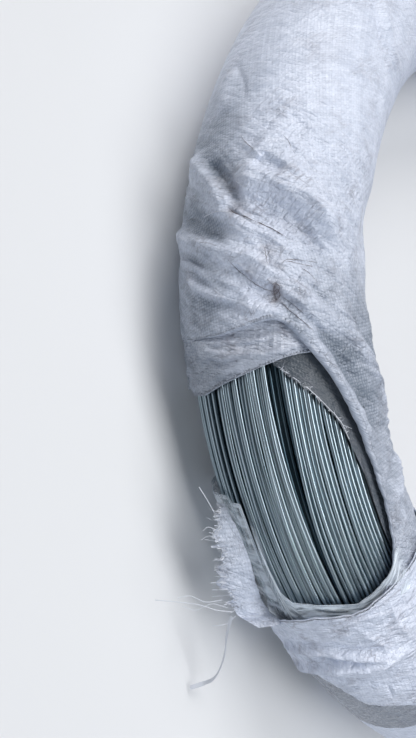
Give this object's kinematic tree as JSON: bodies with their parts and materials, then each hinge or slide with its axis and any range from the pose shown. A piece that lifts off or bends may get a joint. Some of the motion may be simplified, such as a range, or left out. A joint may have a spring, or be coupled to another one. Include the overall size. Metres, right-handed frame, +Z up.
{
  "type": "coil of binding wire",
  "caption": "Coil of galvanised binding wire lying flat in a wound white woven wrap over clear film, cut open on one side to show the turns.",
  "frame": {"origin": "centre of the coil, on the floor that it lies on", "axes": "+Z up along the coil's axis; +X and +Y level, with the cut opening in the wrap on the side towards -X and -Y"},
  "size_m": [0.648, 0.648, 0.096],
  "materials": {
    "zinc_wire": "galvanised drawn wire, dull grey with bright lines along the turns",
    "woven_tape": "white woven tape cloth, wound tight and creased, with light dirt",
    "clear_film": "thin clear film, slightly milky where it is gathered"
  },
  "bodies": {
    "root": {"wire_coil": "zinc_wire", "woven_wrap": "woven_tape", "liner_film": "clear_film"}
  },
  "joints": []
}
